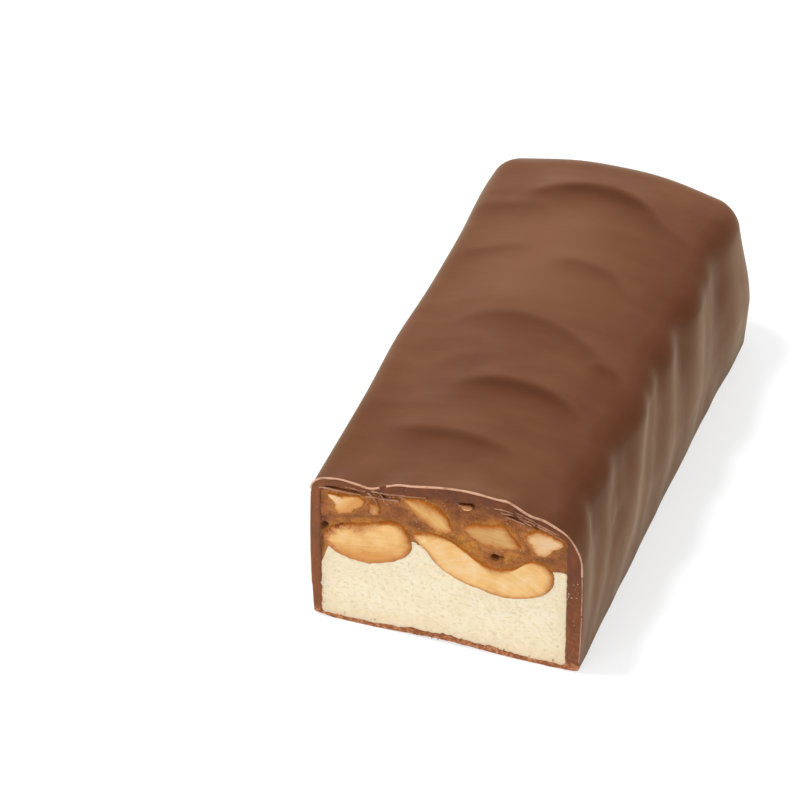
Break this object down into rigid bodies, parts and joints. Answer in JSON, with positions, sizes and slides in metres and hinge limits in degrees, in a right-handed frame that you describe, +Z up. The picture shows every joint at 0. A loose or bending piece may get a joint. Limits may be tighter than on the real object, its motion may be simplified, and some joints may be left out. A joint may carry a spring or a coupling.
{
  "type": "protein bar",
  "caption": "Cut piece of a chocolate-coated nougat bar with a layer of caramel and peanuts showing at the cut end.",
  "frame": {"origin": "centre of the flat underside, halfway between the cut face and the far end", "axes": "+Z up, +Y along the length from the cut face to the closed far end, +X to the right seen from the cut face"},
  "size_m": [0.031, 0.0656, 0.0215],
  "materials": {
    "milk_chocolate": "satin milk chocolate",
    "nougat": "matte, finely porous",
    "caramel": "glossy, slightly translucent",
    "peanut": "satin, freshly sliced"
  },
  "bodies": {
    "root": {"chocolate_coating": "milk_chocolate", "nougat": "nougat", "caramel": "caramel", "peanut_long": "peanut", "peanut_oval": "peanut", "peanut_piece_left": "peanut", "peanut_piece_middle": "peanut", "peanut_piece_right": "peanut", "peanut_piece_corner": "peanut"}
  },
  "joints": []
}
